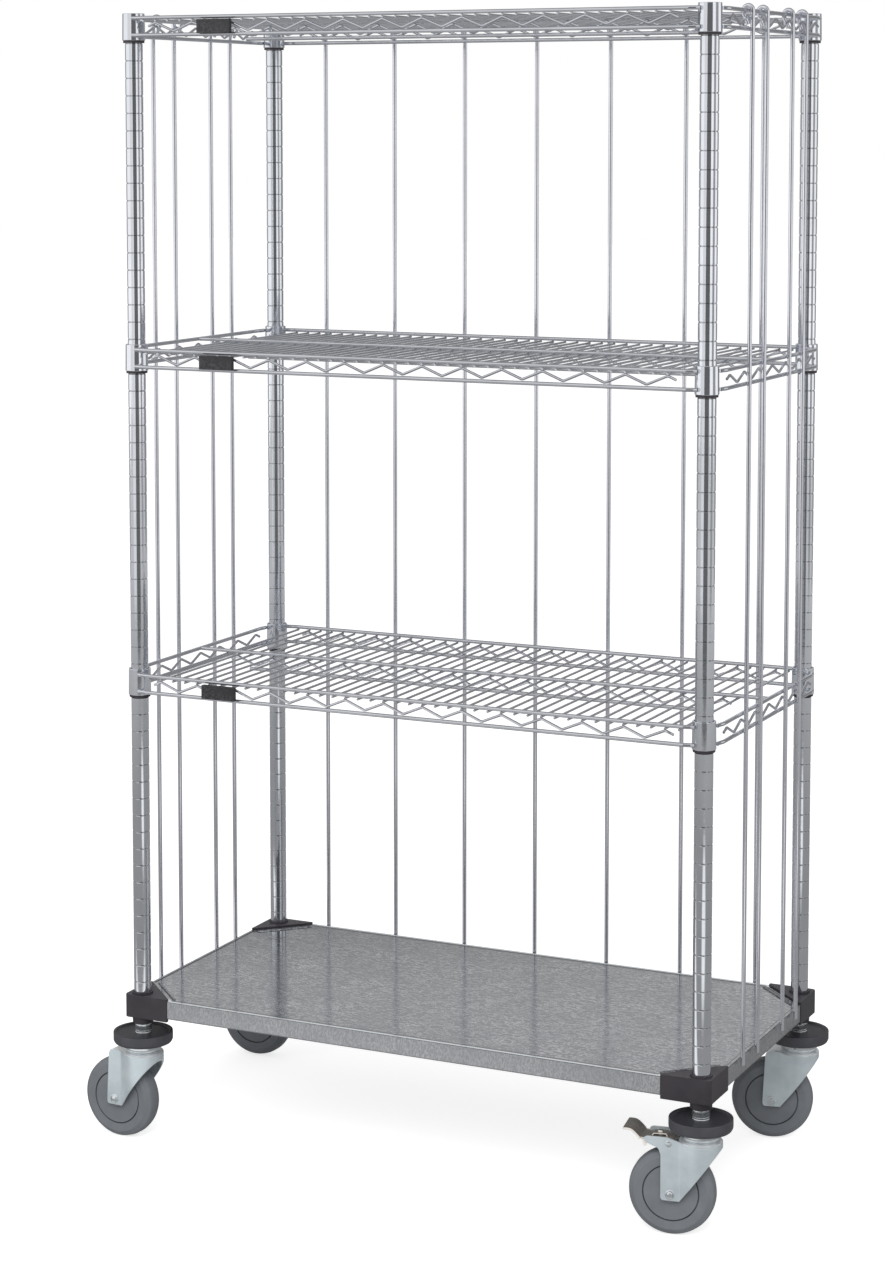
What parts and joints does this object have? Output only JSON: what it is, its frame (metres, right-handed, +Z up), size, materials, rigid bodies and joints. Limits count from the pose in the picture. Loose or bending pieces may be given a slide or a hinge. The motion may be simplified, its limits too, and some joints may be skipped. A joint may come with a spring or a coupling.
{
  "type": "mobile enclosure cart",
  "caption": "Tall wheeled shelving cart with chrome wire shelves, a solid bottom shelf, hooked rods closing the back and sides, and swivel casters with round bumpers.",
  "frame": {"origin": "on the floor, under the middle of the whole cart with its wheels trailing left", "axes": "+Z up, +X to the right of someone facing the open front, +Y to the back"},
  "size_m": [1.024, 0.507, 1.6617],
  "materials": {
    "chrome": "bright chrome plate",
    "rod": "bright chrome plate",
    "deck": "galvanised, with a fine mottled spangle",
    "zinc": "bluish zinc plate, satin",
    "block": "black moulded plastic, satin",
    "sleeve": "black moulded plastic",
    "plate": "black moulded plastic, bare",
    "bumper": "dark grey moulded rubber",
    "wheel": "grey moulded tyre and hub cap, matt",
    "pedal": "dark bronze plated steel"
  },
  "bodies": {
    "cart": {"post_FL": "chrome", "corner_block_FL": "block", "post_FR": "chrome", "corner_block_FR": "block", "post_BL": "chrome", "corner_block_BL": "block", "post_BR": "chrome", "corner_block_BR": "block", "wire_shelf_1": "chrome", "label_plate_1": "plate", "sleeve_1_FL": "sleeve", "sleeve_1_FR": "sleeve", "sleeve_1_BL": "sleeve", "sleeve_1_BR": "sleeve", "wire_shelf_2": "chrome", "label_plate_2": "plate", "sleeve_2_FL": "sleeve", "sleeve_2_FR": "sleeve", "sleeve_2_BL": "sleeve", "sleeve_2_BR": "sleeve", "wire_shelf_3": "chrome", "label_plate_3": "plate", "sleeve_3_FL": "sleeve", "sleeve_3_FR": "sleeve", "sleeve_3_BL": "sleeve", "sleeve_3_BR": "sleeve", "bottom_shelf": "deck", "rod_back_1": "rod", "rod_back_2": "rod", "rod_back_3": "rod", "rod_back_4": "rod", "rod_back_5": "rod", "rod_back_6": "rod", "rod_back_7": "rod", "rod_left_1": "rod", "rod_left_2": "rod", "rod_left_3": "rod", "rod_left_4": "rod", "rod_right_1": "rod", "rod_right_2": "rod", "rod_right_3": "rod", "rod_right_4": "rod", "stem_FL": "zinc", "bumper_FL": "bumper", "stem_FR": "zinc", "bumper_FR": "bumper", "stem_BL": "zinc", "bumper_BL": "bumper", "stem_BR": "zinc", "bumper_BR": "bumper"},
    "caster_FL": {"fork_FL": "zinc"},
    "roller_FL": {"wheel_FL": "wheel"},
    "caster_FR": {"fork_FR": "zinc"},
    "roller_FR": {"wheel_FR": "wheel"},
    "pedal_FR": {"brake_FR": "pedal"},
    "caster_BL": {"fork_BL": "zinc"},
    "roller_BL": {"wheel_BL": "wheel"},
    "pedal_BL": {"brake_BL": "pedal"},
    "caster_BR": {"fork_BR": "zinc"},
    "roller_BR": {"wheel_BR": "wheel"}
  },
  "joints": [
    {"name": "swivel_FL", "type": "hinge", "parent": "cart", "child": "caster_FL", "pos_m": [-0.408, -0.2095, 0.137], "axis": [0, 0, 1], "continuous": true},
    {"name": "roll_FL", "type": "hinge", "parent": "caster_FL", "child": "roller_FL", "pos_m": [-0.44591, -0.20685, 0.06], "axis": [-0.0698, -0.9976, 0], "continuous": true},
    {"name": "swivel_FR", "type": "hinge", "parent": "cart", "child": "caster_FR", "pos_m": [0.468, -0.2095, 0.137], "axis": [0, 0, 1], "continuous": true},
    {"name": "roll_FR", "type": "hinge", "parent": "caster_FR", "child": "roller_FR", "pos_m": [0.4305, -0.21564, 0.06], "axis": [0.1616, -0.9869, 0], "continuous": true},
    {"name": "brake_FR", "type": "hinge", "parent": "caster_FR", "child": "pedal_FR", "pos_m": [0.42853, -0.21596, 0.1304], "axis": [0.1616, -0.9869, 0], "range_deg": [0, 12]},
    {"name": "swivel_BL", "type": "hinge", "parent": "cart", "child": "caster_BL", "pos_m": [-0.408, 0.2095, 0.137], "axis": [0, 0, 1], "continuous": true},
    {"name": "roll_BL", "type": "hinge", "parent": "caster_BL", "child": "roller_BL", "pos_m": [-0.446, 0.2095, 0.06], "axis": [0, -1, 0], "continuous": true},
    {"name": "brake_BL", "type": "hinge", "parent": "caster_BL", "child": "pedal_BL", "pos_m": [-0.448, 0.2095, 0.1304], "axis": [0, -1, 0], "range_deg": [0, 12]},
    {"name": "swivel_BR", "type": "hinge", "parent": "cart", "child": "caster_BR", "pos_m": [0.468, 0.2095, 0.137], "axis": [0, 0, 1], "continuous": true},
    {"name": "roll_BR", "type": "hinge", "parent": "caster_BR", "child": "roller_BR", "pos_m": [0.43113, 0.20031, 0.06], "axis": [0.2419, -0.9703, 0], "continuous": true}
  ]
}
